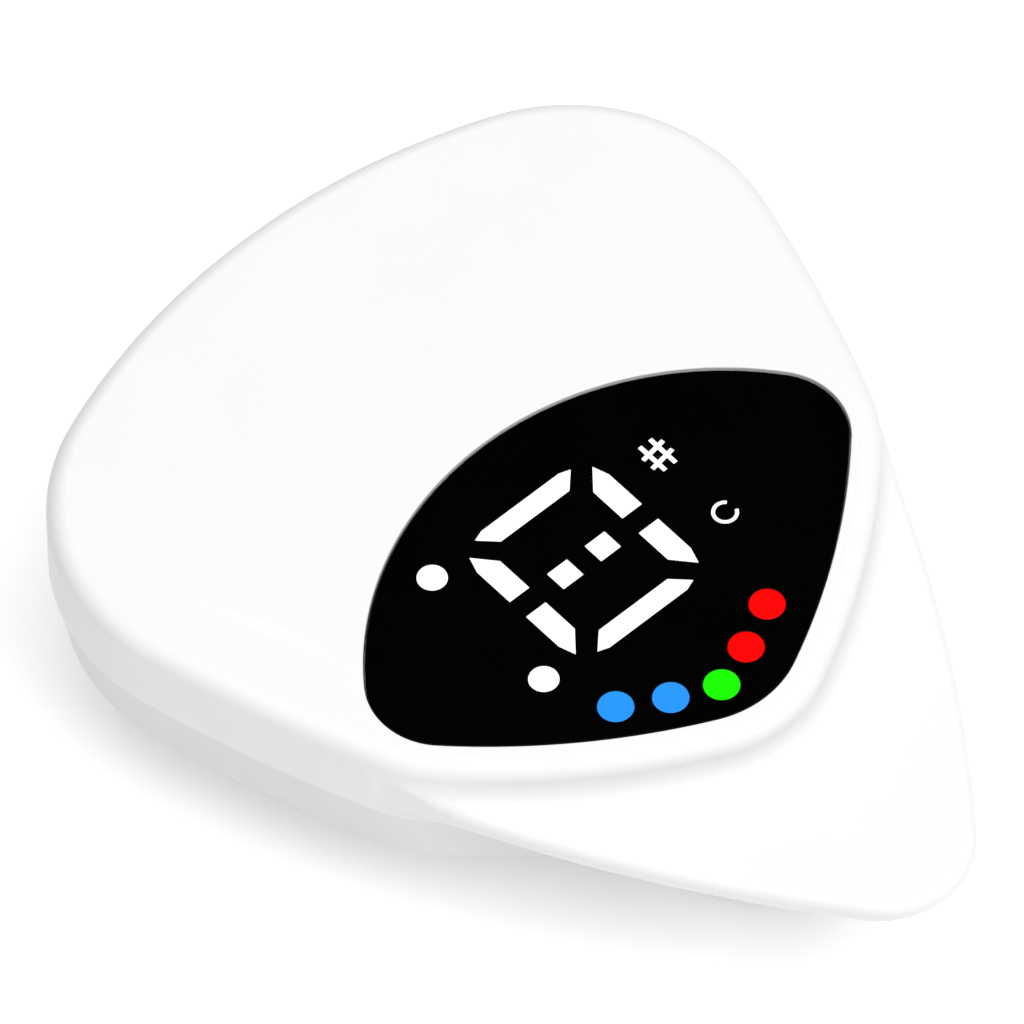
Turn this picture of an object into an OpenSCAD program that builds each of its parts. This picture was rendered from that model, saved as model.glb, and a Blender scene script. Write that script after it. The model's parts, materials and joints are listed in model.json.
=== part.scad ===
// Clip-on tuner shaped like a guitar pick. The body is the upper jaw of a sprung clip: a thin
// blade at the pick's tip is the thumb press, and a lever hinged under the body is the lower jaw.
// Millimetres. +Z is up out of the display, +Y points to the wide end, and +X to the display's
// right. The origin is under the middle of the pick, on the surface that the lever rests on.

/* [Body] */
// Length of the pick, from its tip to the wide end
body_length = 60; // [59:0.5:61.5]
// Width of the pick across its two lobes
body_width = 48.9; // [48.5:0.1:49.5]
// Height of the thick body, without the clip
body_height = 10; // [9.8:0.1:10.6]
// Radius of each lobe at the wide end
lobe_r = 12.9; // [12.5:0.1:13.4]
// Radius of the pick's tip
tip_r = 5.5; // [5:0.1:6.5]
// Radius of the long side arcs
side_r = 103; // [98:1:110]
// Radius of the arc across the wide end
crown_r = 44.2; // [42:0.2:47]
// Height of the lower cover, up to the parting line
seam_height = 4.7; // [4.5:0.1:4.9]
// Rounding of the body's top edge
top_edge_r = 1.2; // [0.8:0.1:1.5]
// How far the lower cover draws in towards its underside
cover_taper = 0.7; // [0.3:0.1:0.9]
// Wall thickness of both covers
wall = 1.3; // [1.1:0.1:1.4]

/* [Nose and blade] */
// Radius of the thick body's nose, where the blade begins
nose_r = 8.5; // [8:0.1:9]
// Centre of the nose, measured from the middle of the pick
nose_y = -7.9; // [-8.2:0.1:-7.6]
// Radius of the arcs that run back from the nose
cheek_r = 48.5; // [46:0.5:52]
// Direction in which each cheek arc leaves the nose
cheek_angle = 26; // [24:0.5:28]
// Radius where a cheek turns into the long side
shoulder_r = 10; // [6:0.5:12]
// Height of the blade's underside above the parting line
blade_lift = 0.9; // [0.5:0.1:1]
// Thickness of the blade
blade_thickness = 1.55; // [1.4:0.05:1.8]
// Rounding of the blade's edges
blade_edge_r = 0.7; // [0.4:0.05:0.75]
// Radius of the hollow where the blade meets the nose
root_r = 1.6; // [1:0.1:1.6]

/* [Display] */
// Width of the rim around the window
bezel = 1.85; // [1.6:0.05:2]
// How far the window lies below the rim
window_recess = 0.15; // [0.1:0.05:0.4]
// Thickness of the window
window_thickness = 1; // [0.8:0.1:1.2]
// Radius of the window's upper edge
window_crown_r = 20.5; // [20:0.1:21.5]
// Centre of the window's upper edge
window_crown_y = -11.15; // [-11.5:0.05:-10.8]
// Radius of the window's two upper corners
window_corner_r = 4.4; // [3.5:0.1:5]
// Sideways place of the digit and the lamp row
digit_x = -1.1; // [-1.3:0.05:-0.6]
// Radius of the coloured lamps
lamp_r = 1.07; // [0.9:0.01:1.2]
// Radius of the two white lamps
dot_r = 0.9; // [0.7:0.05:1]

/* [Clip] */
// Depth of the closed clip below the body
clip_depth = 6.4; // [6.2:0.1:6.8]
// Place of the hinge along the body
hinge_y = -12.5; // [-12.8:0.1:-12.2]
// Height of the hinge
hinge_z = 3.6; // [3.5:0.05:3.7]
// Radius of the hinge pin
pin_r = 0.8; // [0.7:0.05:0.9]
// Running clearance of the lever on the pin
pin_clearance = 0.05; // [0.02:0.01:0.1]
// Where the jaw arm ends
jaw_end_y = 22; // [20:0.5:24]
// Width of the jaw arm at its end
jaw_width = 18; // [16:0.5:19]
// Thickness of each rubber pad
pad_thickness = 1.5; // [1.4:0.05:1.5]
// Diameter of the spring's wire
spring_wire = 0.7; // [0.6:0.05:0.8]
// Number of turns in the spring
spring_turns = 6; // [5:1:6]

/* [Power button] */
// Length of the button along the wall
button_length = 5.6; // [5:0.1:6]
// Height of the button
button_height = 2; // [1.8:0.1:2.2]

/* [Hidden] */
$fn = 96;
eps = 0.01;
slack = 0.1;          // gap between fixed parts that drop into each other
arc_error = 0.012;    // how far a polygon may stray from its arc

// Heights of the stack, from the resting surface up
body_z = clip_depth;
seam_z = body_z + seam_height;
top_z = body_z + body_height;
floor_z = body_z + 1.2;
roof_z = top_z - wall;
lens_top = top_z - window_recess;
lens_z = lens_top - window_thickness;
adhesive_h = 0.15;
deck_top = lens_z - adhesive_h;
deck_z = deck_top - 1;
board_h = 1;
board_z = seam_z + 0.6;
board_top = board_z + board_h;
blade_z = seam_z + blade_lift;
blade_top = blade_z + blade_thickness;
led_h = 0.6;
bottom_edge_r = 0.5;
cavity_inset = wall + cover_taper + bottom_edge_r;

// ---- Geometry of outlines made of tangent arcs ----
// An arc is [centre, radius, start angle, end angle]; an outline lists its right half's arcs
// from the bottom up, and closed() adds the mirrored left half.
function polar(c, r, a) = [c.x + r * cos(a), c.y + r * sin(a)];
function bearing(from, to) = atan2(to.y - from.y, to.x - from.x);
function meet(c1, r1, c2, r2, side) =
    let (d = c2 - c1, l = norm(d), u = d / l,
         along = (r1 * r1 - r2 * r2 + l * l) / (2 * l),
         across = sqrt(max(r1 * r1 - along * along, 0)))
    c1 + u * along + [-u.y, u.x] * across * side;
function closed(arcs) = concat(arcs, [for (i = [len(arcs) - 1 : -1 : 0])
    [[-arcs[i][0].x, arcs[i][0].y], arcs[i][1], 180 - arcs[i][3], 180 - arcs[i][2]]]);
function inset(arcs, d) = [for (a = arcs) [a[0], a[1] - d, a[2], a[3]]];
function steps(r, sweep) = max(2, ceil(sweep / (2 * acos(1 - arc_error / r))));
function points(arcs) = [for (a = arcs, n = steps(a[1], a[3] - a[2]), i = [0 : n - 1])
    polar(a[0], a[1], a[2] + (a[3] - a[2]) * i / n)];

tip_c = [0, -body_length / 2 + tip_r];
crown_c = [0, body_length / 2 - crown_r];
lobe_x = body_width / 2 - lobe_r;
lobe_c = [lobe_x, crown_c.y + sqrt(pow(crown_r - lobe_r, 2) - lobe_x * lobe_x)];
side_c = meet(tip_c, side_r - tip_r, lobe_c, side_r - lobe_r, 1);
pick = closed([
    [tip_c, tip_r, -90, bearing(side_c, tip_c)],
    [side_c, side_r, bearing(side_c, tip_c), bearing(side_c, lobe_c)],
    [lobe_c, lobe_r, bearing(side_c, lobe_c), bearing(crown_c, lobe_c)],
    [crown_c, crown_r, bearing(crown_c, lobe_c), 90]
]);

nose_c = [0, nose_y];
cheek_c = nose_c + [sin(cheek_angle), -cos(cheek_angle)] * (nose_r - cheek_r);
shoulder_c = meet(cheek_c, cheek_r - shoulder_r, side_c, side_r - shoulder_r, 1);
nose_arcs = [
    [nose_c, nose_r, -90, bearing(cheek_c, nose_c)],
    [cheek_c, cheek_r, bearing(cheek_c, nose_c), bearing(cheek_c, shoulder_c)],
    [shoulder_c, shoulder_r, bearing(cheek_c, shoulder_c), bearing(side_c, shoulder_c)]
];
body = closed(concat(nose_arcs, [
    [side_c, side_r, bearing(side_c, shoulder_c), bearing(side_c, lobe_c)],
    [lobe_c, lobe_r, bearing(side_c, lobe_c), bearing(crown_c, lobe_c)],
    [crown_c, crown_r, bearing(crown_c, lobe_c), 90]
]));

pane_r = cheek_r - bezel;
pane_crown_c = [0, window_crown_y];
pane_corner_c = meet(cheek_c, pane_r - window_corner_r,
                     pane_crown_c, window_crown_r - window_corner_r, 1);
window = closed([
    [nose_c, nose_r - bezel, -90, bearing(cheek_c, nose_c)],
    [cheek_c, pane_r, bearing(cheek_c, nose_c), bearing(cheek_c, pane_corner_c)],
    [pane_corner_c, window_corner_r, bearing(cheek_c, pane_corner_c),
     bearing(pane_crown_c, pane_corner_c)],
    [pane_crown_c, window_crown_r, bearing(pane_crown_c, pane_corner_c), 90]
]);

// ---- Shapes shared by the parts ----
module prism(arcs, z0, z1) {
    translate([0, 0, z0]) linear_extrude(z1 - z0) polygon(points(arcs));
}

// Rounded corner of a profile: a quarter turn from a start angle
function quarter(c, r, from, n = 6) = [for (i = [0 : n]) polar(c, r, from + 90 * i / n)];

// One level of a block: the outline's points, moved outward, at a height
function level(arcs, outward, z) =
    [for (a = arcs, n = steps(a[1], a[3] - a[2]), i = [0 : n - 1])
        let (p = polar(a[0], a[1] + outward, a[2] + (a[3] - a[2]) * i / n)) [p.x, p.y, z]];

// Block with a convex outline of arcs, shaped in height by a profile of [outward, height] points
module loft(arcs, profile) {
    levels = [for (p = profile) level(arcs, p.x, p.y)];
    n = len(levels[0]);
    top = (len(profile) - 1) * n;
    skin = [for (j = [0 : len(profile) - 2], k = [0 : n - 1])
        let (m = (k + 1) % n, low = j * n) [low + k, low + n + k, low + n + m, low + m]];
    base = [[for (k = [0 : n - 1]) k]];
    cap = [[for (k = [n - 1 : -1 : 0]) top + k]];
    polyhedron(points = [for (l = levels) each l], faces = concat(skin, base, cap));
}

module box(lo, hi) { translate(lo) cube(hi - lo); }

module at(places) { for (p = places) translate([p.x, p.y, 0]) children(); }

module post(r, z0, z1) { translate([0, 0, z0]) cylinder(r = r, h = z1 - z0); }

// Solid of length l along X, centred on x = 0, from a shape drawn in (y, z)
module along_x(l) { translate([-l / 2, 0, 0]) rotate([90, 0, 90]) linear_extrude(l) children(); }

// Flat slab with round ends, for slots, plugs and buttons
module stadium(length, height) {
    reach = (length - height) / 2;
    union() {
        square([length - height, height], center = true);
        translate([reach, 0]) circle(d = height);
        translate([-reach, 0]) circle(d = height);
    }
}

// ---- Places shared by parts that meet ----
screw_spots = [[18.6, 6.5], [-18.6, 6.5], [15.5, 23], [-15.5, 23]];
screw_r = 0.8;
screw_head_r = 1.45;
screw_head_h = 1;
screw_seat_z = floor_z + 1.8;
screw_end_z = roof_z - 0.3;
screw_slot = [0.9, 0.18, 0.5];   // half length, half width and depth of the cross
boss_r = 2.2;

usb_w = 8.94;
usb_h = 3.2;
usb_shell = 0.3;
usb_length = 7.3;
usb_gap = 0.15;
usb_mouth_y = body_length / 2 - 0.7;
usb_z = board_z - usb_h / 2;

button_y = lobe_c.y;
button_z = board_top + 1.05;
dish_r = 40;
dish_depth = 0.6;
dish_height = 3;
button_gap = 0.15;
plunger_tip_x = 22.3;
switch_x = 18.4;
switch_front_x = 21.6;
switch_half_w = 2;

// The digit is drawn around its own middle, from bars whose ends slant towards each other.
digit_c = [digit_x, -0.5];
segment_w = 1.3;
digit_half_w = 5.1;
digit_half_h = 5.5;
bar_half_w = 3.7;        // half the outer length of the top and bottom bars
bar_slant = 1.05;        // how much shorter they are on their inner side
bar_corner = [0.7, 0.25];   // cut off the bars' outer corners
upright_w = 1.5;
upright_foot = 0.7;      // half the gap between the two uprights of one side
upright_bend = 3.5;      // where an upright's outer side turns in
upright_tip = [4.75, 4.55];
upright_inner_top = 3.2;
square_x = 1.45;
square_size = [1.53, 1.42];
bar_y = digit_half_h - segment_w / 2;
upright_spot = [digit_half_w - upright_w / 2, (upright_foot + upright_bend) / 2];
dot_x = digit_x - 7.25;  // the two lamps left of the digit
dot_spots = [[dot_x, 4.47], [dot_x, -5.1]];
blue_spots = [[digit_x - 5.5, -9.3], [digit_x - 2.75, -10.95]];
green_spots = [[digit_x, -12.25]];
red_spots = [[digit_x + 2.8, -11.25], [digit_x + 5.7, -9.85]];
lamp_spots = concat(blue_spots, green_spots, red_spots);
sharp_spot = [digit_x + 8.1, 2.15];
letter_spot = [digit_x + 8.25, -3.45];
icon_pipe_r = 1.15;
mask_half = [5.85, 6.8];
mask_lo = digit_c - mask_half;
mask_hi = digit_c + mask_half;

// The digit's top bar; the bottom one is its mirror image
module digit_bar() {
    end = [[bar_half_w - bar_corner.x, digit_half_h], [bar_half_w, digit_half_h - bar_corner.y],
           [bar_half_w - bar_slant, digit_half_h - segment_w]];
    polygon(concat(end, [for (i = [2 : -1 : 0]) [-end[i].x, end[i].y]]));
}

// The upper right upright; the other three are its mirror images
module digit_upright() {
    polygon([upright_tip, [digit_half_w, upright_bend], [digit_half_w, upright_foot],
             [digit_half_w - upright_w, upright_foot], [digit_half_w - upright_w, upright_inner_top]]);
}

module digit_shapes() {
    for (v = [0, 1]) mirror([0, v]) digit_bar();
    for (u = [0, 1], v = [0, 1]) mirror([u, 0]) mirror([0, v]) digit_upright();
    for (side = [-1, 1]) translate([side * square_x, 0]) square(square_size, center = true);
}

stroke = 0.28;
sharp_size = [1.8, 2.2];
sharp_gap = 0.8;
sharp_slope = 8;

module sharp_shape() {
    for (side = [-1, 1]) {
        translate([side * sharp_gap / 2, 0]) square([stroke, sharp_size.y], center = true);
        translate([0, side * sharp_gap / 2]) rotate(sharp_slope)
            square([sharp_size.x, stroke], center = true);
    }
}

letter_r = 0.8;
letter_stroke = 0.22;
letter_gap = 32;         // half the angle of the letter's opening
letter_turn = 8;

module letter_shape() {
    rotate(letter_turn) difference() {
        circle(r = letter_r);
        circle(r = letter_r - letter_stroke);
        polygon([for (a = [-letter_gap, 0, letter_gap]) polar([0, 0], a == 0 ? 0 : 2 * letter_r, a)]);
    }
}

module front_cover() {
    color("white") difference() {
        union() {
            front_shell();
            at(screw_spots) post(boss_r, board_top, roof_z + eps);
        }
        at(screw_spots) post(screw_r, board_top - 1, screw_end_z);
        front_openings();
    }
}

module front_shell() {
    difference() {
        union() {
            loft(body, concat([[0, seam_z]], quarter([-top_edge_r, top_z - top_edge_r], top_edge_r, 0)));
            blade();
            blade_root();
        }
        prism(inset(body, wall), seam_z - 1, deck_z);
        difference() {
            prism(inset(body, wall), deck_z - eps, roof_z);
            prism(inset(window, -wall), deck_z - 1, roof_z + 1);
        }
    }
}

// The pick's thin tip, from the shoulders to the end
module blade() {
    loft(closed([pick[0], [side_c, side_r, pick[1][2], bearing(side_c, shoulder_c) - 0.4]]),
         concat(quarter([-blade_edge_r, blade_z + blade_edge_r], blade_edge_r, -90, 4),
                quarter([-blade_edge_r, blade_top - blade_edge_r], blade_edge_r, 0, 4)));
}

// The hollow where the nose's wall runs out into the blade's top. It stops just short of the
// wall's own surface, so that the two never touch along a line.
module blade_root() {
    stop = 0.03;
    intersection() {
        loft(closed(nose_arcs), concat(
            [[root_r, blade_top - 0.4]],
            [for (i = [0 : 5]) polar([root_r + stop, blade_top + root_r], root_r, 270 - 18 * i)]));
        prism(inset(pick, blade_edge_r / 2), seam_z, top_z);
    }
}

// Everything that is cut through the front cover's walls and deck
module front_openings() {
    prism(inset(window, -slack), deck_top, top_z + 1);
    box([mask_lo.x - slack, mask_lo.y - slack, deck_z - 1],
        [mask_hi.x + slack, mask_hi.y + slack, deck_top + 1]);
    at(lamp_spots) post(lamp_r + slack, deck_z - 1, deck_top + 1);
    at(dot_spots) post(dot_r + slack, deck_z - 1, deck_top + 1);
    at([sharp_spot, letter_spot]) post(icon_pipe_r + slack, deck_z - 1, deck_top + 1);
    usb_cut();
    button_slot();
    translate([body_width / 2 + dish_r - dish_depth, button_y, button_z - dish_height / 2])
        cylinder(r = dish_r, h = dish_height, $fn = 256);
}

module usb_cut() {
    translate([0, body_length / 2 + 1, usb_z]) rotate([90, 0, 0])
        linear_extrude(6) stadium(usb_w + 2 * usb_gap, usb_h + 2 * usb_gap);
}

module button_slot() {
    translate([lobe_c.x + 5, button_y, button_z]) rotate([90, 0, 90])
        linear_extrude(10) stadium(button_length + 2 * button_gap, button_height + 2 * button_gap);
}

module rear_cover() {
    color("whitesmoke") difference() {
        union() {
            rear_shell();
            at(screw_spots) post(boss_r, floor_z - eps, board_z);
            hinge_lugs();
        }
        at(screw_spots) {
            post(screw_r + slack, body_z, board_z + 1);
            post(screw_head_r + slack, body_z - 1, screw_seat_z);
        }
        usb_cut();
    }
}

seam_groove = 0.08;
lip_z = seam_z - 1;
lip_top = board_z + 0.4;

module rear_shell() {
    difference() {
        union() {
            loft(inset(body, seam_groove), concat(
                quarter([-cover_taper - bottom_edge_r, body_z + bottom_edge_r], bottom_edge_r, -90),
                [[0, seam_z]]));
            prism(inset(body, wall + slack), lip_z, lip_top);
        }
        prism(inset(body, cavity_inset), floor_z, lip_z + eps);
        prism(inset(body, wall + slack + 0.8), lip_z, lip_top + 1);
    }
}

lug_in = 3;
lug_out = 4;
lug_r = 2.4;
lug_neck = 1.5;       // how far the lug's foot reaches towards the tail

module hinge_lugs() {
    difference() {
        for (side = [-1, 1]) translate([side * (lug_in + lug_out) / 2, 0, 0])
            along_x(lug_out - lug_in) union() {
                translate([hinge_y, hinge_z]) circle(r = lug_r);
                translate([hinge_y - lug_neck, hinge_z])
                    square([lug_r + lug_neck, body_z - hinge_z + 0.6]);
            }
        translate([0, hinge_y, hinge_z]) rotate([0, 90, 0])
            cylinder(r = pin_r, h = 20, center = true);
    }
}

module window_lens() {
    color([0.04, 0.04, 0.05]) difference() {
        prism(window, lens_z, lens_top);
        translate([0, 0, lens_z - 1]) linear_extrude(window_thickness + 2) {
            translate(digit_c) digit_shapes();
            at(lamp_spots) circle(r = lamp_r);
            at(dot_spots) circle(r = dot_r);
            translate(sharp_spot) sharp_shape();
            translate(letter_spot) letter_shape();
        }
    }
}

module lens_adhesive() {
    color([0.1, 0.1, 0.1]) difference() {
        prism(inset(window, 0.1), deck_top, lens_z);
        prism(inset(window, 0.8), deck_top - 1, lens_z + 1);
    }
}

film_h = 0.1;

module diffuser_film() {
    color("ghostwhite") box([mask_lo.x, mask_lo.y, lens_z - film_h],
                            [mask_hi.x, mask_hi.y, lens_z]);
}

// Block with a light well under each segment, and room for the lamps on the board
module light_mask() {
    color([0.12, 0.12, 0.12]) difference() {
        box([mask_lo.x, mask_lo.y, board_top], [mask_hi.x, mask_hi.y, lens_z - film_h]);
        translate([digit_c.x, digit_c.y, board_top - 1]) linear_extrude(lens_z) {
            wells([[0, bar_y]], [2 * (bar_half_w - bar_slant), segment_w - 0.2]);
            wells([[square_x, 0]], square_size);
            wells([upright_spot], [upright_w - 0.3, upright_bend - upright_foot]);
        }
    }
}

// Rectangles of one size at each place and its mirror images
module wells(spots, size) {
    for (p = spots, u = [-1, 1], v = [-1, 1]) translate([p.x * u, p.y * v]) square(size, center = true);
}

module digit_segments() {
    color("white") translate([digit_c.x, digit_c.y, lens_z])
        linear_extrude(window_thickness) digit_shapes();
}

module icon(spot) {
    translate([spot.x, spot.y, lens_z]) linear_extrude(window_thickness) children();
    translate([spot.x, spot.y, 0]) post(icon_pipe_r, board_top + led_h + slack, lens_z);
}

module mode_icons() {
    color("white") {
        icon(sharp_spot) sharp_shape();
        icon(letter_spot) letter_shape();
    }
}

module light_pipes(spots, r) { at(spots) post(r, board_top + led_h + slack, lens_top); }
module side_dots() { color("white") light_pipes(dot_spots, dot_r); }
module blue_dots() { color([0.17, 0.6, 1]) light_pipes(blue_spots, lamp_r); }
module green_dot() { color([0.1, 1, 0]) light_pipes(green_spots, lamp_r); }
module red_dots() { color([1, 0, 0]) light_pipes(red_spots, lamp_r); }

board_inset = 2.4;

module main_board() {
    color("darkgreen") difference() {
        prism(inset(body, board_inset), board_z, board_top);
        at(screw_spots) post(screw_r + slack, board_z - 1, board_top + 1);
    }
}

led_spots = concat(
    [for (v = [-1, 1]) digit_c + [0, v * bar_y]],
    [for (u = [-1, 1], v = [-1, 1]) digit_c + [u * upright_spot.x, v * upright_spot.y]],
    [for (u = [-1, 1]) digit_c + [u * square_x, 0]],
    dot_spots, lamp_spots, [sharp_spot, letter_spot]);
led_size = [0.8, 0.8];

module indicator_leds() {
    color("lightyellow") at(led_spots)
        box([-led_size.x / 2, -led_size.y / 2, board_top],
            [led_size.x / 2, led_size.y / 2, board_top + led_h]);
}

chip_corner = [-9, 14];
chip_size = [5, 5, 0.9];

module controller_chip() {
    color([0.08, 0.08, 0.09]) translate([chip_corner.x, chip_corner.y, board_top]) cube(chip_size);
}

// A row of small parts on the board: the first one's corner, a part's size, the pitch and count
module chip_row(corner, size, pitch, count) {
    for (i = [0 : count - 1]) translate([corner.x + i * pitch, corner.y, board_top]) cube(size);
}

small_chip = [0.8, 1.6, 0.5];

module board_passives() {
    color("tan") {
        chip_row([-1.5, 15.2], [small_chip.x, small_chip.y, small_chip.z], 1.8, 5);
        chip_row([-11.5, 20.6], [small_chip.y, small_chip.x, small_chip.z], 2.4, 4);
        chip_row([4, 19.4], [3.2, 1.5, 0.8], 0, 1);
    }
}

battery_lo = [-10, -1.5];
battery_hi = [10, 20.5];
battery_h = 3;
pad_h = 0.3;
battery_z = floor_z + pad_h;

module battery() {
    radius = battery_h / 2;
    color("silver") translate([0, battery_hi.y, battery_z + radius]) rotate([90, 0, 0])
        linear_extrude(battery_hi.y - battery_lo.y)
            stadium(battery_hi.x - battery_lo.x, battery_h);
}

pad_margin = [3, 2.5];

module battery_pad() {
    color("dimgray") box([battery_lo.x + pad_margin.x, battery_lo.y + pad_margin.y, floor_z],
                         [battery_hi.x - pad_margin.x, battery_hi.y - pad_margin.y, battery_z]);
}

connector_x = -13;
connector_y = 12;
connector_size = [3.5, 5.2, 3.2];
lead_z = battery_z + battery_h / 2;
lead_r = 0.4;
lead_spacing = 2.4;

module battery_connector() {
    color("ivory") translate([connector_x - connector_size.x, connector_y - connector_size.y / 2,
                              board_z - connector_size.z]) cube(connector_size);
}

module battery_leads() {
    color("crimson") for (side = [-1, 1])
        translate([connector_x, connector_y + side * lead_spacing / 2, lead_z]) rotate([0, 90, 0])
            cylinder(r = lead_r, h = battery_lo.x - connector_x);
}

piezo_y = -7.4;
piezo_r = 4.6;
ceramic_r = 3.2;
disc_h = 0.3;

module piezo_plate() {
    color("goldenrod") translate([0, piezo_y, 0]) post(piezo_r, floor_z, floor_z + disc_h);
}

module piezo_ceramic() {
    color("lightgray") translate([0, piezo_y, 0])
        post(ceramic_r, floor_z + disc_h, floor_z + 2 * disc_h);
}

module usb_socket() {
    color("lightsteelblue") translate([0, usb_mouth_y, usb_z]) rotate([90, 0, 0])
        difference() {
            linear_extrude(usb_length) stadium(usb_w, usb_h);
            translate([0, 0, -1]) linear_extrude(usb_length)
                stadium(usb_w - 2 * usb_shell, usb_h - 2 * usb_shell);
        }
}

tongue_half = [3.3, 0.35];
tongue_setback = 0.8;

module usb_tongue() {
    color([0.1, 0.1, 0.1])
        box([-tongue_half.x, usb_mouth_y - usb_length + 1, usb_z - tongue_half.y],
            [tongue_half.x, usb_mouth_y - tongue_setback, usb_z + tongue_half.y]);
}

switch_h = 1.8;
plunger_size = [1.8, 0.8];
plunger_travel_room = 0.6;

module tact_switch() {
    color("gainsboro") difference() {
        box([switch_x, button_y - switch_half_w, board_top],
            [switch_front_x, button_y + switch_half_w, board_top + switch_h]);
        plunger_box(switch_front_x - plunger_travel_room, switch_front_x + 1, 0.05);
    }
}

// The plunger's section from x0 to x1, grown by a gap all round
module plunger_box(x0, x1, gap) {
    half = plunger_size / 2 + [gap, gap];
    box([x0, button_y - half.x, button_z - half.y], [x1, button_y + half.x, button_z + half.y]);
}

module switch_plunger() {
    color([0.15, 0.15, 0.15])
        plunger_box(switch_front_x - plunger_travel_room + 0.35, plunger_tip_x, 0);
}

button_flange_gap = 0.1;
button_flange = 0.5;             // its thickness behind the wall
button_flange_reach = [1.4, 0.5];  // how much longer and taller it is than the cap
button_setback = 0.12;
button_stem = [1, 0.6];

module power_button() {
    wall_r = lobe_r - wall - button_flange_gap;
    face_x = body_width / 2 - button_setback;
    color("whitesmoke") {
        intersection() {
            translate([lobe_c.x + 5, button_y, button_z]) rotate([90, 0, 90])
                linear_extrude(20) stadium(button_length, button_height);
            translate([lobe_c.x, lobe_c.y, button_z - 5]) difference() {
                cylinder(r = face_x - lobe_c.x, h = 10);
                translate([0, 0, -1]) cylinder(r = wall_r - button_flange, h = 12);
            }
        }
        intersection() {
            translate([lobe_c.x + 5, button_y, button_z]) rotate([90, 0, 90])
                linear_extrude(20) stadium(button_length + button_flange_reach.x,
                                           button_height + button_flange_reach.y);
            translate([lobe_c.x, lobe_c.y, button_z - 5]) difference() {
                cylinder(r = wall_r, h = 10);
                translate([0, 0, -1]) cylinder(r = wall_r - button_flange, h = 12);
            }
        }
        box([plunger_tip_x, button_y - button_stem.x, button_z - button_stem.y],
            [lobe_c.x + wall_r - button_flange / 2, button_y + button_stem.x,
             button_z + button_stem.y]);
    }
}

module cover_screws() {
    color("silver") at(screw_spots) difference() {
        union() {
            post(screw_head_r, screw_seat_z - screw_head_h, screw_seat_z);
            post(screw_r, screw_seat_z - eps, screw_end_z);
        }
        for (turn = [0, 90]) rotate(turn)
            box([-screw_slot.x, -screw_slot.y, screw_seat_z - screw_head_h - 1],
                [screw_slot.x, screw_slot.y, screw_seat_z - screw_head_h + screw_slot.z]);
    }
}

flange_in = lug_out + 0.1;
flange_out = flange_in + 1.1;
flange_r = 2.5;

module hinge_pin() {
    color("silver") translate([0, hinge_y, hinge_z]) rotate([0, 90, 0])
        cylinder(r = pin_r, h = 2 * flange_out - 0.4, center = true);
}

// ---- Torsion spring: a coil around the pin, with a leg under the body and a leg on the lever ----
coil_r = 1.6;
coil_steps = 16;
wire_sides = 8;
coil_pitch = spring_wire + 0.04;
coil_half = coil_pitch * spring_turns / 2;
leg_length = 2.6;
leg_top_lift = 18;
leg_low_drop = 8;
coil_start = -90 - leg_low_drop;
coil_end = 360 * spring_turns + 90 - leg_top_lift;

function coil_point(a, x) = [x, hinge_y + coil_r * cos(a), hinge_z + coil_r * sin(a)];
function coil_tangent(a) = [0, -sin(a), cos(a)];
function coil_x(a) = coil_half * (2 * (a - coil_start) / (coil_end - coil_start) - 1);
spring_path = concat(
    [coil_point(coil_start, -coil_half) - coil_tangent(coil_start) * leg_length],
    [for (i = [0 : coil_steps * spring_turns])
        let (a = coil_start + (coil_end - coil_start) * i / (coil_steps * spring_turns))
        coil_point(a, coil_x(a))],
    [coil_point(coil_end, coil_half) + coil_tangent(coil_end) * leg_length]);

// A ring of the wire's section at a point, square to the coil's turn there
function wire_ring(p, a) = [for (k = [0 : wire_sides - 1])
    let (t = 360 * k / wire_sides)
    p + spring_wire / 2 * ([cos(t), 0, 0] + sin(t) * [0, cos(a), sin(a)])];
function path_angle(i) =
    i == 0 ? coil_start
    : i == len(spring_path) - 1 ? coil_end
    : coil_start + (coil_end - coil_start) * (i - 1) / (coil_steps * spring_turns);

module torsion_spring() {
    rings = len(spring_path);
    verts = [for (i = [0 : rings - 1]) each wire_ring(spring_path[i], path_angle(i))];
    skin = [for (i = [0 : rings - 2], k = [0 : wire_sides - 1])
        let (m = (k + 1) % wire_sides, a = i * wire_sides, b = a + wire_sides)
        [a + k, a + m, b + m, b + k]];
    start_cap = [[for (k = [wire_sides - 1 : -1 : 0]) k]];
    end_cap = [[for (k = [0 : wire_sides - 1]) (rings - 1) * wire_sides + k]];
    color("silver") polyhedron(points = verts, faces = concat(skin, start_cap, end_cap));
}

// ---- Clip lever ----
throat_z = 1.6;              // top of the arm between the hub and the jaw
seat_z = body_z - 2 * pad_thickness - 0.2;
seat_y = 4;
seat_ramp = 1.8;
jaw_chamfer = 0.8;
jaw_corner = 4;
tail_top_z = hinge_z + 1;
tail_z = 2.5;                // underside of the tail's end
tail_y = -18.2;
tail_r = 2.7;
tail_chamfer = 1.2;
heel_z = 0.3;
well_r = 2.65;
slot_half_w = 0.6;
slot_z = 1.3;
slot_reach = 3.1;
hub_half = flange_out;

// The lever's side view in (y, z)
module lever_side() {
    end_y = tail_y - tail_r;
    polygon([
        [jaw_end_y - jaw_chamfer, 0], [jaw_end_y, jaw_chamfer],
        [jaw_end_y, seat_z - jaw_chamfer / 2], [jaw_end_y - jaw_chamfer / 2, seat_z],
        [seat_y, seat_z], [seat_y - seat_ramp, throat_z],
        [hinge_y + flange_r, throat_z], [hinge_y + flange_r, hinge_z], [hinge_y, tail_top_z],
        [end_y, tail_top_z], [end_y, tail_z + 0.5], [end_y + tail_chamfer, tail_z],
        [hinge_y - 2.4, heel_z], [hinge_y - 1.6, 0]
    ]);
}

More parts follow.
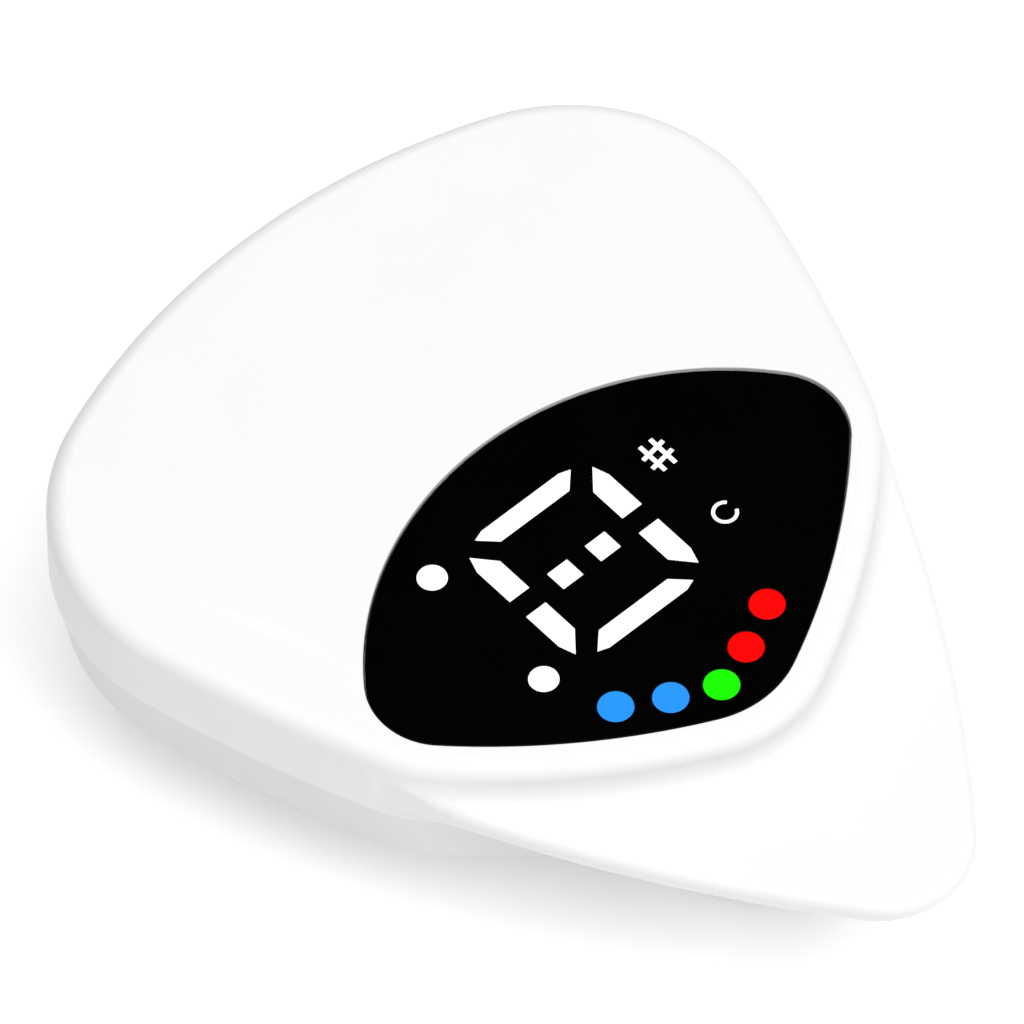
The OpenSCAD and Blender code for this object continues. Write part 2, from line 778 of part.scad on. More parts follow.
// The lever's plan: a paddle that narrows to the hub and ends in a rounded tail
module lever_plan() {
    hull() {
        for (side = [-1, 1]) translate([side * (jaw_width / 2 - jaw_corner), jaw_end_y - jaw_corner])
            circle(r = jaw_corner, $fn = 64);
        translate([-jaw_width / 2, seat_y]) square([jaw_width, jaw_corner]);
    }
    polygon([[-jaw_width / 2, seat_y + 0.2], [-hub_half, hinge_y + 4], [-hub_half, hinge_y - 1.5],
             [hub_half, hinge_y - 1.5], [hub_half, hinge_y + 4], [jaw_width / 2, seat_y + 0.2]]);
    hull() {
        translate([0, tail_y]) circle(r = tail_r, $fn = 64);
        translate([-hub_half, hinge_y - 2]) square([2 * hub_half, 1]);
    }
}

module clip_lever() {
    color("white") difference() {
        union() {
            intersection() {
                along_x(jaw_width + 2) lever_side();
                translate([0, 0, -1]) linear_extrude(body_z) lever_plan();
            }
            for (side = [-1, 1]) translate([side * (flange_in + flange_out) / 2, hinge_y, hinge_z])
                rotate([0, 90, 0]) cylinder(r = flange_r, h = flange_out - flange_in, center = true);
            tail_ribs();
        }
        translate([0, hinge_y, hinge_z]) rotate([0, 90, 0]) {
            cylinder(r = pin_r + pin_clearance, h = 30, center = true);
            cylinder(r = well_r, h = 2 * flange_in, center = true);
        }
        box([-flange_in, hinge_y - well_r, hinge_z], [flange_in, hinge_y + well_r, body_z]);
        box([-coil_half - slot_half_w, hinge_y - slot_reach, slot_z],
            [-coil_half + slot_half_w, hinge_y, body_z]);
        throat_relief();
        heel_bevels();
    }
}

// Clears the flanges' inner faces down to the throat ahead of the hub
module throat_relief() {
    box([-flange_in, hinge_y, throat_z], [flange_in, hinge_y + flange_r + 1, body_z]);
}

bevel_rise = [1.29, 0.87];       // rise of a heel bevel per mm outward, and per mm tailward
bevel_start = [4, hinge_y - 1.7];   // a place where a bevel meets the resting surface

// Slanted cuts under the heel's two sides, each a wedge below a sloping face
module heel_bevels() {
    far = [jaw_width, tail_y - tail_r - 2];
    low = -1;
    function face_z(x, y) = bevel_rise * [x - bevel_start.x, bevel_start.y - y];
    function face_x(y) = bevel_start.x + (low - bevel_rise.y * (bevel_start.y - y)) / bevel_rise.x;
    function face_y(x) = bevel_start.y - (low - bevel_rise.x * (x - bevel_start.x)) / bevel_rise.y;
    for (side = [0, 1]) mirror([side, 0, 0]) polyhedron(
        points = [[far.x, far.y, low], [far.x, far.y, face_z(far.x, far.y)],
                  [far.x, face_y(far.x), low], [face_x(far.y), far.y, low]],
        faces = [[0, 1, 2], [0, 3, 1], [0, 2, 3], [1, 3, 2]]);
}

rib_count = 3;
rib_pitch = 1.4;
rib_r = 0.4;
rib_length = 3.6;
rib_y = -19.2;
tail_slope = (tail_z - heel_z) / (hinge_y - 2.4 - (tail_y - tail_r + tail_chamfer));

module tail_ribs() {
    for (i = [0 : rib_count - 1], y = rib_y + i * rib_pitch)
        translate([0, y, heel_z + (hinge_y - 2.4 - y) * tail_slope + rib_r / 4]) rotate([0, 90, 0])
            cylinder(r = rib_r, h = rib_length, center = true);
}

pad_y = 6;
pad_length = 14;
pad_width = 13;
pad_corner = 2;
groove_count = 6;
groove_pitch = 2;
groove_size = [0.8, 0.45];

// Rubber pad with its grooved face up; the upper one is turned over
module pad() {
    translate([0, pad_y, 0]) difference() {
        linear_extrude(pad_thickness) union() {
            translate([-pad_width / 2 + pad_corner, 0])
                square([pad_width - 2 * pad_corner, pad_length]);
            translate([-pad_width / 2, pad_corner])
                square([pad_width, pad_length - 2 * pad_corner]);
            for (u = [-1, 1], v = [pad_corner, pad_length - pad_corner])
                translate([u * (pad_width / 2 - pad_corner), v]) circle(r = pad_corner);
        }
        for (i = [0 : groove_count - 1], y = groove_pitch * (i + 0.8))
            box([-pad_width, y, pad_thickness - groove_size.y],
                [pad_width, y + groove_size.x, pad_thickness + 1]);
    }
}

module upper_pad() { color([0.2, 0.2, 0.2]) translate([0, 0, body_z]) mirror([0, 0, 1]) pad(); }
module lower_pad() { color([0.2, 0.2, 0.2]) translate([0, 0, seat_z]) pad(); }

front_cover();
rear_cover();
window_lens();
lens_adhesive();
diffuser_film();
light_mask();
digit_segments();
mode_icons();
side_dots();
blue_dots();
green_dot();
red_dots();
main_board();
indicator_leds();
controller_chip();
board_passives();
battery();
battery_pad();
battery_connector();
battery_leads();
piezo_plate();
piezo_ceramic();
usb_socket();
usb_tongue();
tact_switch();
switch_plunger();
power_button();
cover_screws();
hinge_pin();
torsion_spring();
clip_lever();
upper_pad();
lower_pad();
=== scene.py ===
"""Looks of the clip-on tuner: moulded covers, gloss display, hinged clip and a soft studio.

Outlines are worked in millimetres in the CAD frame and turned into metres when a mesh is made.
"""

import json
import math

import bmesh
import bpy
from mathutils import Matrix, Vector

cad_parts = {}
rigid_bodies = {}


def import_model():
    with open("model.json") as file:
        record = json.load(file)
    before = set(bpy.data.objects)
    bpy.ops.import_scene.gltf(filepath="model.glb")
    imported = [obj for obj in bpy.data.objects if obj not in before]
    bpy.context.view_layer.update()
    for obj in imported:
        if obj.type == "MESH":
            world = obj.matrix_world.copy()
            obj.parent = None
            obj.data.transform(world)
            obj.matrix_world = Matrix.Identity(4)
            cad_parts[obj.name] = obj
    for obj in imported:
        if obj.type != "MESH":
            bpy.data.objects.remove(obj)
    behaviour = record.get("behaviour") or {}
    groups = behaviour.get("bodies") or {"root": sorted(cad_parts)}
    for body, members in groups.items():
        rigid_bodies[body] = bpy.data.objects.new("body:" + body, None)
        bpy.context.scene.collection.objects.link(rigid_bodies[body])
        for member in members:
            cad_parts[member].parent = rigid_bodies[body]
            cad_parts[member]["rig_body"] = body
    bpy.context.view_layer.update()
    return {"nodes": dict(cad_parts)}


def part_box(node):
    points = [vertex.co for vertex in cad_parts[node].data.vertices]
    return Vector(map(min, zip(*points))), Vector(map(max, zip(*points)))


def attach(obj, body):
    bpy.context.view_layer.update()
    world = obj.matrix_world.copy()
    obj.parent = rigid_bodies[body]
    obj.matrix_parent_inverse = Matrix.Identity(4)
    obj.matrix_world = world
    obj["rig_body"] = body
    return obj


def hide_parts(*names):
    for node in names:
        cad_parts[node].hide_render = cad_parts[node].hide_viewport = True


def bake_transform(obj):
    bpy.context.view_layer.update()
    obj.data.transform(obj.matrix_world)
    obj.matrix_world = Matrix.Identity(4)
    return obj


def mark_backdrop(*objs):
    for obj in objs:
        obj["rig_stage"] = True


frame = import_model()
MM = 0.001


def span(node):
    """A node's lowest and highest corners, in millimetres."""
    lo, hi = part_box(node)
    return lo / MM, hi / MM


# ---- Driving sizes: what the frame gives, and the radii of the outlines' arcs ----
COVER_LO, COVER_HI = span("front_cover")
BOARD_LO, BOARD_HI = span("main_board")
PIN_LO, PIN_HI = span("hinge_pin")
MASK_LO, MASK_HI = span("light_mask")
BUTTON_LO, BUTTON_HI = span("power_button")
SOCKET_LO, SOCKET_HI = span("usb_socket")

LENGTH = COVER_HI.y - COVER_LO.y
WIDTH = COVER_HI.x - COVER_LO.x
SEAM_Z = COVER_LO.z
TOP_Z = COVER_HI.z
BODY_Z = span("upper_pad")[1].z          # the rear cover's underside
FLOOR_Z = span("piezo_plate")[0].z       # the same cover's floor, inside

# Radii and centres of the outlines' arcs
LOBE_R = 12.9
TIP_R = 5.5
SIDE_R = 103
CROWN_R = 44.2
NOSE_R = 8.5
NOSE_Y = -7.9
CHEEK_R = 48.5
CHEEK_ANGLE = 26
SHOULDER_R = 10
BEZEL = 1.85         # between the window and the nose's edge
WINDOW_CROWN_R = 20.5
WINDOW_CROWN_Y = -11.15
WINDOW_CORNER_R = 4.4

# Sections of the covers
WALL = 1.3
TOP_EDGE_R = 1.2
BLADE_LIFT = 0.9     # the blade's underside over the parting line
BLADE = 1.55         # its thickness
BLADE_Z = SEAM_Z + BLADE_LIFT
BLADE_TOP_Z = BLADE_Z + BLADE
BLADE_EDGE_R = 0.7
ROOT_R = 1.6         # hollow between the blade and the nose
COVER_TAPER = 0.7    # how far the rear cover draws in
BOTTOM_EDGE_R = 0.5
SEAM_GROOVE = 0.08
SLACK = 0.1          # gap round a piece in its opening
RIM_R = 0.08         # round of the window's rim
TAPE = 0.15          # between the window and the deck that carries it
DECK = 1             # thickness of that deck
ROOF_Z = TOP_Z - WALL
DECK_TOP = span("window_lens")[0].z - TAPE
DECK_Z = DECK_TOP - DECK
LIP_TOP_Z = span("rear_cover")[1].z
LIP = 0.8            # thickness of the rear cover's inner lip
LIP_ROOT = 1         # how far the lip reaches down into the rear cover
PAST = 1             # how far a cutter runs past the face it opens
OVER = 0.5           # the same, where there is less room
LAP = 0.2            # by which two cutters that meet overlap
BITE = 0.3           # how far a post sinks into the wall it stands on

SCREW_SPOTS = [(x * side, y) for x, y in ((18.6, 6.5), (15.5, 23)) for side in (-1, 1)]
SCREW_R = 0.8
BOSS_R = 2.2
SCREW_SEAT = 1.8     # over the rear cover's floor
SCREW_HEAD_R = 1.55
SCREW_FLARE = 0.3

MOUTH_BEVEL = 0.25   # of the port's and the button's slots
MOUTH_FLARE = 0.2    # of their cutters, past the wall
PORT_GAP = 0.3
PORT_DEPTH = 5
BUTTON_SLOT = (5.9, 2.3)
BUTTON_MOUTH = 0.55  # under the side wall's widest place
BUTTON_DEPTH = 8
DISH_R = 40
DISH_DEPTH = 0.6
DISH_HEIGHT = 3
DISH_EDGE_R = 0.5
DISH_SIDES = 512

HINGE_Y = (PIN_LO.y + PIN_HI.y) / 2
HINGE_Z = (PIN_LO.z + PIN_HI.z) / 2
PIN_R = (PIN_HI.z - PIN_LO.z) / 2
PIN_GAP = 0.01
LUG_IN, LUG_OUT = 3.0, 4.0
LUG_R = 2.4
LUG_NECK = 1.5
LUG_EDGE = 0.2
LUG_ROOT = 0.6       # how far the lug reaches into the body
LUG_TURN = 6         # degrees between the points round it


# ---- Outlines made of tangent arcs: [centre, radius, start, end], the right half first ----
def polar(c, r, a):
    """The point at a radius and an angle (in degrees) round a centre."""
    return Vector((c.x + r * math.cos(math.radians(a)), c.y + r * math.sin(math.radians(a))))


def bearing(start, end):
    """The angle in degrees of the way from one point to another."""
    return math.degrees(math.atan2(end.y - start.y, end.x - start.x))


def meet(c1, r1, c2, r2):
    """Where two circles cross, on the left of the way from the first to the second."""
    way = c2 - c1
    gap = way.length
    u = way / gap
    along = (r1 * r1 - r2 * r2 + gap * gap) / (2 * gap)
    across = math.sqrt(max(r1 * r1 - along * along, 0))
    return c1 + u * along + Vector((-u.y, u.x)) * across


def closed(arcs):
    """A whole outline from its right half: the same arcs again, mirrored."""
    return arcs + [(Vector((-c.x, c.y)), r, 180 - e, 180 - s) for c, r, s, e in reversed(arcs)]


def inset(arcs, d):
    """An outline moved inward by a distance."""
    return [(c, r - d, s, e) for c, r, s, e in arcs]


TIP_C = Vector((0, -LENGTH / 2 + TIP_R))
CROWN_C = Vector((0, LENGTH / 2 - CROWN_R))
LOBE_X = WIDTH / 2 - LOBE_R
LOBE_C = Vector((LOBE_X, CROWN_C.y + math.sqrt((CROWN_R - LOBE_R) ** 2 - LOBE_X ** 2)))
SIDE_C = meet(TIP_C, SIDE_R - TIP_R, LOBE_C, SIDE_R - LOBE_R)
NOSE_C = Vector((0, NOSE_Y))
CHEEK_C = NOSE_C + (NOSE_R - CHEEK_R) * Vector(
    (math.sin(math.radians(CHEEK_ANGLE)), -math.cos(math.radians(CHEEK_ANGLE))))
SHOULDER_C = meet(CHEEK_C, CHEEK_R - SHOULDER_R, SIDE_C, SIDE_R - SHOULDER_R)

LOBE_AND_CROWN = [
    (LOBE_C, LOBE_R, bearing(SIDE_C, LOBE_C), bearing(CROWN_C, LOBE_C)),
    (CROWN_C, CROWN_R, bearing(CROWN_C, LOBE_C), 90),
]
NOSE_ARCS = [
    (NOSE_C, NOSE_R, -90, bearing(CHEEK_C, NOSE_C)),
    (CHEEK_C, CHEEK_R, bearing(CHEEK_C, NOSE_C), bearing(CHEEK_C, SHOULDER_C)),
    (SHOULDER_C, SHOULDER_R, bearing(CHEEK_C, SHOULDER_C), bearing(SIDE_C, SHOULDER_C)),
]
PICK = closed([
    (TIP_C, TIP_R, -90, bearing(SIDE_C, TIP_C)),
    (SIDE_C, SIDE_R, bearing(SIDE_C, TIP_C), bearing(SIDE_C, LOBE_C)),
] + LOBE_AND_CROWN)
BLADE_ARCS = closed(NOSE_ARCS)
BODY = closed(NOSE_ARCS + [
    (SIDE_C, SIDE_R, bearing(SIDE_C, SHOULDER_C), bearing(SIDE_C, LOBE_C)),
] + LOBE_AND_CROWN)

PANE_R = CHEEK_R - BEZEL
PANE_CROWN_C = Vector((0, WINDOW_CROWN_Y))
PANE_CORNER_C = meet(CHEEK_C, PANE_R - WINDOW_CORNER_R,
                     PANE_CROWN_C, WINDOW_CROWN_R - WINDOW_CORNER_R)
WINDOW = closed([
    (NOSE_C, NOSE_R - BEZEL, -90, bearing(CHEEK_C, NOSE_C)),
    (CHEEK_C, PANE_R, bearing(CHEEK_C, NOSE_C), bearing(CHEEK_C, PANE_CORNER_C)),
    (PANE_CORNER_C, WINDOW_CORNER_R,
     bearing(CHEEK_C, PANE_CORNER_C), bearing(PANE_CROWN_C, PANE_CORNER_C)),
    (PANE_CROWN_C, WINDOW_CROWN_R, bearing(PANE_CROWN_C, PANE_CORNER_C), 90),
])

ARC_STEP = 0.4       # longest chord along an outline, mm
ARC_TURN = 2.0       # most that an outline turns at a point, degrees


def steps(arc, finer=1):
    """How many straight lines stand for an arc."""
    _, r, s, e = arc
    return max(2, math.ceil(finer * max(math.radians(e - s) * r / ARC_STEP, (e - s) / ARC_TURN)))


def samples(arcs, finer=1):
    """Each arc's points as (arc, angle), with an arc's end left to the next one's start."""
    found = []
    for arc in arcs:
        n = steps(arc, finer)
        found += [(arc, arc[2] + (arc[3] - arc[2]) * i / n) for i in range(n)]
    return found


def quarter(c_out, c_z, r, start, n=10):
    """Profile points (outward, height) of a rounded corner: a quarter turn from a start angle."""
    return [tuple(polar(Vector((c_out, c_z)), r, start + 90 * i / n)) for i in range(n + 1)]


# ---- Meshes ----
SAME_SPOT = 1e-7     # vertices nearer than this are one, metres
FLAT_ANGLE = 0.5     # faces that turn by less than this are one, degrees


def mesh_object(name, bm):
    """A closed, outward-facing object from a mesh that is being built."""
    bmesh.ops.remove_doubles(bm, verts=bm.verts, dist=SAME_SPOT)
    bmesh.ops.dissolve_degenerate(bm, edges=bm.edges, dist=SAME_SPOT)
    bmesh.ops.recalc_face_normals(bm, faces=bm.faces)
    mesh = bpy.data.meshes.new(name)
    bm.to_mesh(mesh)
    bm.free()
    piece = bpy.data.objects.new(name, mesh)
    bpy.context.scene.collection.objects.link(piece)
    return piece


def skin(name, rings):
    """Mesh through closed rings of points in millimetres, each with as many points as the next."""
    bm = bmesh.new()
    rows = [[bm.verts.new(Vector(p) * MM) for p in ring] for ring in rings]
    n = len(rows[0])
    for low, high in zip(rows, rows[1:]):
        for k in range(n):
            bm.faces.new((low[k], low[(k + 1) % n], high[(k + 1) % n], high[k]))
    bm.faces.new(list(reversed(rows[0])))
    bm.faces.new(rows[-1])
    return mesh_object(name, bm)


def loft(name, arcs, profile, finer=1):
    """Block with an outline of arcs, shaped in height by a profile of (outward, height) points."""
    found = samples(arcs, finer)
    return skin(name, [[(*polar(c, r + out, a), z) for (c, r, _, _), a in found]
                       for out, z in profile])


def circle(r, n=64):
    """Points round the origin."""
    return [Vector((r * math.cos(2 * math.pi * k / n), r * math.sin(2 * math.pi * k / n)))
            for k in range(n)]


def post(name, spot, profile, n=64):
    """Turned solid on a vertical axis, from a profile of (radius, height) points."""
    return skin(name, [[(spot[0] + p.x, spot[1] + p.y, z) for p in circle(r, n)]
                       for r, z in profile])


def stadium(length, height, grow=0.0, n=24):
    """Outline of a slab with round ends."""
    r = height / 2
    reach = length / 2 - r
    turn = [math.pi * k / n - math.pi / 2 for k in range(n + 1)]
    right = [Vector((reach + (r + grow) * math.cos(t), (r + grow) * math.sin(t))) for t in turn]
    return right + [-p for p in right]


def combine(piece, others, operation):
    """Boolean of a piece with other solids, which are used up."""
    for other in others:
        modifier = piece.modifiers.new(operation, "BOOLEAN")
        modifier.operation = operation
        modifier.solver = "EXACT"
        modifier.object = other
    bpy.context.view_layer.update()
    graph = bpy.context.evaluated_depsgraph_get()
    mesh = bpy.data.meshes.new_from_object(piece.evaluated_get(graph))
    piece.modifiers.clear()
    piece.data = mesh
    for other in others:
        bpy.data.objects.remove(other)
    return piece


def soften(bm, width, angle=30, segments=3):
    """Rounds every edge that turns by more than an angle."""
    bmesh.ops.dissolve_limit(bm, angle_limit=math.radians(FLAT_ANGLE), verts=bm.verts,
                             edges=bm.edges)
    sharp = [e for e in bm.edges if e.is_manifold and e.calc_face_angle() > math.radians(angle)]
    bmesh.ops.bevel(bm, geom=sharp, offset=width * MM, offset_type="OFFSET", segments=segments,
                    profile=0.5, affect="EDGES", clamp_overlap=False)


def shade(piece, angle=30):
    """Smooth shading, with a crease only where the surface turns by more than an angle."""
    piece.data.shade_smooth()
    piece.data.set_sharp_from_angle(angle=math.radians(angle))
    weighted = piece.modifiers.new("even_normals", "WEIGHTED_NORMAL")
    weighted.keep_sharp = True
    weighted.weight = 100


def place(piece, body, slot, *nodes):
    """Gives a piece its material and body, and says which CAD nodes it stands for."""
    piece.data.materials.clear()
    piece.data.materials.append(MATERIALS[slot])
    shade(piece)
    if nodes:
        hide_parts(*nodes)
    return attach(piece, body) if body else piece


def refined(node, width):
    """A node's own shape with its edges rounded, as the moulded or machined piece has them."""
    source = frame["nodes"][node]
    bm = bmesh.new()
    bm.from_mesh(source.data)
    bmesh.ops.remove_doubles(bm, verts=bm.verts, dist=SAME_SPOT)
    soften(bm, width)
    piece = mesh_object(node + "_piece", bm)
    return place(piece, source["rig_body"], source.material_slots[0].material.name, node)


def moulded(node, voxel, passes):
    """A node's own shape with soft edges everywhere, as an injection mould leaves them."""
    source = frame["nodes"][node]
    bm = bmesh.new()
    bm.from_mesh(source.data)
    piece = mesh_object(node + "_moulding", bm)
    remesh = piece.modifiers.new("remesh", "REMESH")
    remesh.mode = "VOXEL"
    remesh.voxel_size = voxel * MM
    smooth = piece.modifiers.new("smooth", "SMOOTH")
    smooth.factor = 0.5
    smooth.iterations = passes
    combine(piece, [], "UNION")
    return place(piece, source["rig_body"], source.material_slots[0].material.name, node)


# ---- Materials ----
MATERIALS = {}


class Finish:
    """A material's shader nodes, with short ways to add and join them."""

    def __init__(self, slot):
        self.material = bpy.data.materials.new("finish_" + slot)
        self.material.use_nodes = True
        self.tree = self.material.node_tree
        self.shader = self.tree.nodes["Principled BSDF"]
        self.place = self.tree.nodes.new("ShaderNodeTexCoord").outputs["Object"]
        MATERIALS[slot] = self.material

    def feed(self, socket, value):
        """Joins a node's output to a socket, or gives the socket a plain value."""
        if isinstance(value, bpy.types.NodeSocket):
            self.tree.links.new(value, socket)
        else:
            socket.default_value = value

    def set(self, **values):
        """Gives the surface shader its inputs, named with _ for a space."""
        for name, value in values.items():
            self.feed(self.shader.inputs[name.replace("_", " ")], value)

    def add(self, kind, inputs, **settings):
        """A new node with its inputs fed and its settings made."""
        node = self.tree.nodes.new(kind)
        for name, value in settings.items():
            setattr(node, name, value)
        for name, value in inputs.items():
            self.feed(node.inputs[name], value)
        return node

    def mapped(self, stretch):
        return self.add("ShaderNodeMapping", {"Vector": self.place, "Scale": stretch}).outputs[0]

    def noise(self, size, detail=3.0, stretch=(1, 1, 1), distortion=0.0):
        """Noise with features of a size in millimetres."""
        inputs = {"Vector": self.mapped(stretch), "Scale": 1 / (size * MM),
                  "Detail": detail, "Distortion": distortion}
        return self.add("ShaderNodeTexNoise", inputs).outputs["Fac"]

    def cells(self, size, feature="F1", distance="EUCLIDEAN"):
        """Distance within cells of a size in millimetres."""
        return self.add("ShaderNodeTexVoronoi", {"Vector": self.place, "Scale": 1 / (size * MM)},
                        feature=feature, distance=distance).outputs["Distance"]

    def between(self, factor, low, high, start=0.3, end=0.7):
        """A factor that runs from start to end, spread to run from low to high."""
        inputs = {"Value": factor, "From Min": start, "From Max": end,
                  "To Min": low, "To Max": high}
        return self.add("ShaderNodeMapRange", inputs).outputs["Result"]

    def times(self, a, b):
        return self.add("ShaderNodeMath", {0: a, 1: b}, operation="MULTIPLY").outputs[0]

    def mix(self, factor, first, second, how="MIX"):
        node = self.add("ShaderNodeMix", {0: factor, 6: first, 7: second}, data_type="RGBA",
                        blend_type=how)
        return node.outputs[2]

    def below(self, height):
        """1 under a height in millimetres, and 0 over it."""
        z = self.add("ShaderNodeSeparateXYZ", {0: self.place}).outputs["Z"]
        return self.add("ShaderNodeMath", {0: z, 1: height * MM}, operation="LESS_THAN").outputs[0]

    def bump(self, height, depth, under=None):
        """Relief of a depth in millimetres, over another relief if there is one."""
        inputs = {"Height": height, "Distance": depth * MM}
        if under is not None:
            inputs["Normal"] = under
        return self.add("ShaderNodeBump", inputs).outputs["Normal"]

    def edges(self):
        """1 on convex edges, where handling polishes or wears them, and 0 elsewhere."""
        ridge = self.tree.nodes.new("ShaderNodeNewGeometry").outputs["Pointiness"]
        return self.between(ridge, 0.0, 1.0, 0.52, 0.62)


def tone(colour, k=1.0):
    """A colour made lighter or darker by a factor."""
    return tuple(min(c * k, 1) for c in colour[:3]) + (1,)


def grained(slot, colour, roughness, grain=0.2, depth=0.004, mottle=0.02, metallic=0.0, worn=None,
            stretch=(1, 1, 1), specular=0.5, painted_shade_below=None):
    """A moulded, turned or coated surface: mottled colour, uneven roughness, grain and worn edges.

    With a (height, factor) pair as its last argument, the colour under the height is darker by the
    factor: painted shade on the lower band, which faces a little downward.
    """
    f = Finish(slot)
    broad = f.noise(6, detail=2)
    fine = f.noise(grain, stretch=stretch)
    base = f.mix(f.between(broad, 0.0, 1.0), tone(colour, 1 - mottle), tone(colour, 1 + mottle))
    base = f.mix(f.between(fine, 0.3, 0.0), base, tone(colour, 1 - 2 * mottle))
    edge = f.edges()
    if worn:
        base = f.mix(f.times(edge, f.between(broad, 0.1, 0.6)), base, worn)
    # Painted shade: under the given height the colour is multiplied darker, in place of the shade
    # the lights leave on the lower band.
    if painted_shade_below:
        base = f.mix(f.below(painted_shade_below[0]), base, tone((1, 1, 1), painted_shade_below[1]), "MULTIPLY")
    rough = f.between(fine, roughness * 0.88, min(roughness * 1.12, 1))
    smooth_edge = f.times(rough, f.between(edge, 1.0, 0.8, 0.0, 1.0))
    f.set(Base_Color=base, Roughness=smooth_edge, Metallic=metallic, Specular_IOR_Level=specular,
          Normal=f.bump(fine, depth))


def lit(slot, colour, glow):
    """A moulded light pipe with its lamp on: faintly scattered colour under a satin face."""
    f = Finish(slot)
    scatter = f.noise(0.35, detail=2)
    shown = f.mix(f.between(scatter, 0.0, 1.0), tone(colour, 0.97), tone(colour, 1.0))
    f.set(Base_Color=tone(colour, 0.03), Emission_Color=shown, Emission_Strength=glow,
          Roughness=0.3, Specular_IOR_Level=0.05, Normal=f.bump(scatter, 0.002))


def window_finish(slot):
    """Smoked gloss acrylic with the faint smudges of handling."""
    f = Finish(slot)
    smudge = f.noise(7, detail=5, distortion=0.6)
    f.set(Base_Color=f.mix(smudge, (0.0003, 0.0003, 0.0004, 1), (0.0006, 0.0006, 0.0007, 1)),
          Roughness=f.between(smudge, 0.05, 0.12), Specular_IOR_Level=0.05,
          Normal=f.bump(f.noise(9, detail=1), 0.002))


def board_finish(slot):
    """Green solder mask with slightly raised tracks under it."""
    f = Finish(slot)
    tracks = f.between(f.cells(2.2, "DISTANCE_TO_EDGE", "MANHATTAN"), 1.0, 0.0, 0.04, 0.07)
    weave = f.noise(0.25)
    base = f.mix(tracks, (0.004, 0.05, 0.02, 1), (0.012, 0.11, 0.04, 1))
    base = f.mix(f.between(weave, 0.0, 0.2), base, (0.003, 0.04, 0.015, 1))
    f.set(Base_Color=base, Roughness=0.32, Coat_Weight=0.3,
          Normal=f.bump(weave, 0.003, f.bump(tracks, 0.03)))


def foil_finish(slot):
    """Battery pouch: soft aluminium laminate with shallow wrinkles."""
    f = Finish(slot)
    wrinkle = f.noise(3, detail=4, distortion=1.2)
    scuff = f.noise(0.3)
    f.set(Base_Color=f.mix(wrinkle, (0.55, 0.56, 0.58, 1), (0.72, 0.72, 0.74, 1)),
          Metallic=0.85, Roughness=f.between(scuff, 0.28, 0.42),
          Normal=f.bump(scuff, 0.004, f.bump(wrinkle, 0.12)))


def foam_finish(slot):
    """Open-cell foam tape."""
    f = Finish(slot)
    cell = f.cells(0.35)
    wall = f.between(cell, 0.0, 1.0, 0.1, 0.6)
    f.set(Base_Color=f.mix(wall, (0.03, 0.03, 0.035, 1), (0.11, 0.11, 0.12, 1)),
          Roughness=0.95, Normal=f.bump(cell, 0.12))


def rubber_finish(slot):
    """Soft grip rubber: dark, matt, a little dusty on the lands between its grooves."""
    f = Finish(slot)
    fine = f.noise(0.12, detail=4)
    dust = f.noise(4, detail=4, distortion=0.8)
    base = f.mix(f.between(dust, 0.0, 0.35, 0.45, 0.8),
                 (0.022, 0.022, 0.024, 1), (0.07, 0.068, 0.065, 1))
    base = f.mix(f.times(f.edges(), 0.35), base, (0.1, 0.1, 0.1, 1))
    f.set(Base_Color=base, Roughness=f.between(fine, 0.72, 0.9), Specular_IOR_Level=0.35,
          Sheen_Weight=0.15, Normal=f.bump(fine, 0.012))


# The covers' plastic carries painted shade: a shade darker under the parting line, on the rear
# cover and the lever.
grained("cover_plastic", (0.86, 0.86, 0.86), 0.46, grain=0.16, depth=0.0035, mottle=0.006,
        worn=(0.9, 0.9, 0.9, 1), specular=0.2, painted_shade_below=(SEAM_Z, 0.87))
grained("button_plastic", (0.83, 0.83, 0.83), 0.38, grain=0.14, depth=0.003, mottle=0.008)
grained("tape_black", (0.012, 0.012, 0.013), 0.8, grain=0.3, depth=0.01, mottle=0.1)
grained("film_white", (0.82, 0.82, 0.84), 0.5, grain=0.1, depth=0.002)
grained("mask_black", (0.02, 0.02, 0.021), 0.6, grain=0.2, depth=0.006, mottle=0.08)
grained("led_package", (0.85, 0.78, 0.5), 0.35, grain=0.3, mottle=0.05)
grained("chip_black", (0.015, 0.015, 0.017), 0.55, grain=0.1, depth=0.006, mottle=0.1)
grained("ceramic_tan", (0.42, 0.3, 0.18), 0.5, grain=0.2, mottle=0.08, worn=(0.75, 0.74, 0.72, 1))
grained("connector_ivory", (0.78, 0.74, 0.62), 0.45, grain=0.2, mottle=0.03)
grained("lead_red", (0.55, 0.015, 0.012), 0.4, grain=0.2, mottle=0.04)
grained("piezo_brass", (0.72, 0.5, 0.2), 0.3, grain=0.1, mottle=0.06, metallic=1.0,
        stretch=(1, 12, 1))
grained("piezo_ceramic", (0.6, 0.6, 0.57), 0.55, grain=0.15, mottle=0.05)
grained("steel_shell", (0.62, 0.62, 0.64), 0.28, grain=0.12, metallic=1.0, stretch=(1, 14, 1),
        worn=(0.8, 0.8, 0.8, 1))
grained("spring_steel", (0.5, 0.5, 0.52), 0.25, grain=0.1, mottle=0.06, metallic=1.0,
        stretch=(10, 1, 1), worn=(0.75, 0.75, 0.76, 1))
grained("pin_steel", (0.58, 0.58, 0.6), 0.22, grain=0.08, mottle=0.05, metallic=1.0,
        stretch=(12, 1, 1), worn=(0.8, 0.8, 0.8, 1))
lit("lamp_white", (1.0, 1.0, 1.0), 1.25)
lit("lamp_blue", (0.024, 0.319, 1.0), 1.0)
lit("lamp_green", (0.0105, 1.0, 0.0), 1.0)
lit("lamp_red", (1.0, 0.0, 0.0), 1.0)
window_finish("lens_black")
board_finish("circuit_board")
foil_finish("cell_foil")
foam_finish("foam_grey")
rubber_finish("pad_rubber")


